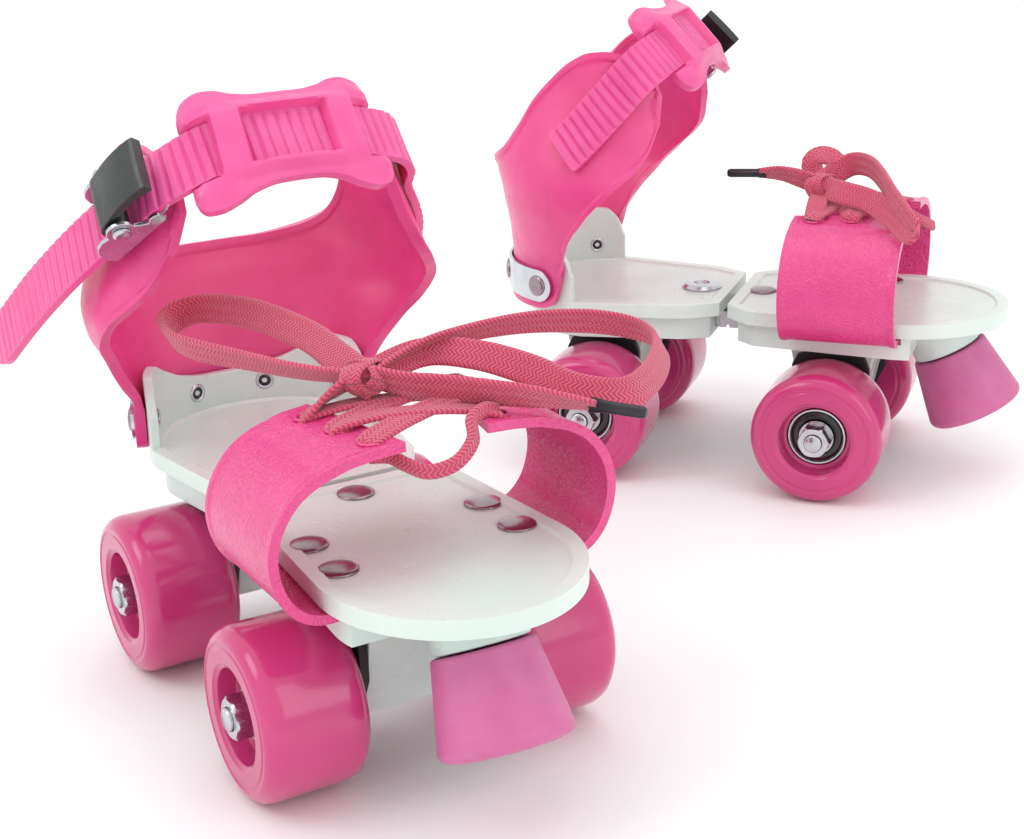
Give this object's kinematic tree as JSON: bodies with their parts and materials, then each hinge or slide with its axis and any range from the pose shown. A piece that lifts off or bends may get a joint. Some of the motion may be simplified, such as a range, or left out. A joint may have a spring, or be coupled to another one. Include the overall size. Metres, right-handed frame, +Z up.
{
  "type": "quad roller skates",
  "caption": "Pair of children's strap-on quad roller skates: open two-part soles that slide to set the length, laced toe straps, ankle cuffs with lever buckles, toe stops.",
  "frame": {"origin": "on the floor, under the middle of the pair with the laces left out", "axes": "+Z up; +X is the way the left skate points; +Y towards the left skate from the right one"},
  "size_m": [0.2972, 0.3976, 0.1806],
  "materials": {
    "sole": "satin moulded plastic",
    "wheel": "glossy moulded",
    "strap": "soft moulded plastic, satin",
    "stop": "matte",
    "lace": "flat woven",
    "steel": "plated steel",
    "carrier": "satin moulded plastic",
    "lever": "black satin"
  },
  "bodies": {
    "right_front_frame": {"right_front_plate": "sole", "right_slide_bar": "steel", "right_front_carrier": "carrier", "right_front_axle": "steel", "right_front_outer_nut": "steel", "right_front_inner_nut": "steel", "right_toe_stop": "stop", "right_toe_strap_outer": "strap", "right_toe_strap_inner": "strap", "right_lace": "lace"},
    "right_rear_frame": {"right_rear_plate": "sole", "right_clamp_bolt": "steel", "right_rear_carrier": "carrier", "right_rear_axle": "steel", "right_rear_outer_nut": "steel", "right_rear_inner_nut": "steel", "right_cuff": "strap", "right_heel_band": "steel", "right_ladder_strap": "strap", "right_ankle_pad": "strap", "right_buckle_frame": "steel"},
    "right_buckle_lever": {"right_buckle_lever": "lever"},
    "right_front_outer_wheel": {"right_front_outer_wheel": "wheel", "right_front_outer_bearings": "steel"},
    "right_front_inner_wheel": {"right_front_inner_wheel": "wheel", "right_front_inner_bearings": "steel"},
    "right_rear_outer_wheel": {"right_rear_outer_wheel": "wheel", "right_rear_outer_bearings": "steel"},
    "right_rear_inner_wheel": {"right_rear_inner_wheel": "wheel", "right_rear_inner_bearings": "steel"},
    "left_front_frame": {"left_front_plate": "sole", "left_slide_bar": "steel", "left_front_carrier": "carrier", "left_front_axle": "steel", "left_front_outer_nut": "steel", "left_front_inner_nut": "steel", "left_toe_stop": "stop", "left_toe_strap_outer": "strap", "left_toe_strap_inner": "strap", "left_lace": "lace"},
    "left_rear_frame": {"left_rear_plate": "sole", "left_clamp_bolt": "steel", "left_rear_carrier": "carrier", "left_rear_axle": "steel", "left_rear_outer_nut": "steel", "left_rear_inner_nut": "steel", "left_cuff": "strap", "left_heel_band": "steel", "left_ladder_strap": "strap", "left_ankle_pad": "strap", "left_buckle_frame": "steel"},
    "left_buckle_lever": {"left_buckle_lever": "lever"},
    "left_front_outer_wheel": {"left_front_outer_wheel": "wheel", "left_front_outer_bearings": "steel"},
    "left_front_inner_wheel": {"left_front_inner_wheel": "wheel", "left_front_inner_bearings": "steel"},
    "left_rear_outer_wheel": {"left_rear_outer_wheel": "wheel", "left_rear_outer_bearings": "steel"},
    "left_rear_inner_wheel": {"left_rear_inner_wheel": "wheel", "left_rear_inner_bearings": "steel"}
  },
  "joints": [
    {"name": "left_lift", "type": "slide", "parent": "right_front_frame", "child": "left_front_frame", "axis": [0, 0, 1], "range_m": [0, 0.25]},
    {"name": "right_length", "type": "slide", "parent": "right_front_frame", "child": "right_rear_frame", "axis": [-0.7678, 0.6406, 0], "range_m": [-0.003, 0.035]},
    {"name": "right_front_outer_wheel_spin", "type": "hinge", "parent": "right_front_frame", "child": "right_front_outer_wheel", "pos_m": [0.00484, -0.14223, 0.025], "axis": [0.6406, 0.7678, 0], "continuous": true},
    {"name": "right_front_inner_wheel_spin", "type": "hinge", "parent": "right_front_frame", "child": "right_front_inner_wheel", "pos_m": [0.00484, -0.14223, 0.025], "axis": [0.6406, 0.7678, 0], "continuous": true},
    {"name": "right_rear_outer_wheel_spin", "type": "hinge", "parent": "right_rear_frame", "child": "right_rear_outer_wheel", "pos_m": [-0.0658, -0.08329, 0.025], "axis": [0.6406, 0.7678, 0], "continuous": true},
    {"name": "right_rear_inner_wheel_spin", "type": "hinge", "parent": "right_rear_frame", "child": "right_rear_inner_wheel", "pos_m": [-0.0658, -0.08329, 0.025], "axis": [0.6406, 0.7678, 0], "continuous": true},
    {"name": "right_buckle_lever_lift", "type": "hinge", "parent": "right_rear_frame", "child": "right_buckle_lever", "pos_m": [-0.08377, -0.13311, 0.15253], "axis": [0.4769, -0.5222, -0.707], "range_deg": [0, 40], "stiffness_Nm_per_rad": 0.02},
    {"name": "left_length", "type": "slide", "parent": "left_front_frame", "child": "left_rear_frame", "axis": [-1, 0, 0], "range_m": [-0.003, 0.035]},
    {"name": "left_front_outer_wheel_spin", "type": "hinge", "parent": "left_front_frame", "child": "left_front_outer_wheel", "pos_m": [0.07914, 0.12357, 0.025], "axis": [0, 1, 0], "continuous": true},
    {"name": "left_front_inner_wheel_spin", "type": "hinge", "parent": "left_front_frame", "child": "left_front_inner_wheel", "pos_m": [0.07914, 0.12357, 0.025], "axis": [0, 1, 0], "continuous": true},
    {"name": "left_rear_outer_wheel_spin", "type": "hinge", "parent": "left_rear_frame", "child": "left_rear_outer_wheel", "pos_m": [-0.01286, 0.12357, 0.025], "axis": [0, 1, 0], "continuous": true},
    {"name": "left_rear_inner_wheel_spin", "type": "hinge", "parent": "left_rear_frame", "child": "left_rear_inner_wheel", "pos_m": [-0.01286, 0.12357, 0.025], "axis": [0, 1, 0], "continuous": true},
    {"name": "left_buckle_lever_lift", "type": "hinge", "parent": "left_rear_frame", "child": "left_buckle_lever", "pos_m": [0.00526, 0.17333, 0.15253], "axis": [-0.7008, -0.0955, 0.707], "range_deg": [0, 40], "stiffness_Nm_per_rad": 0.02}
  ]
}
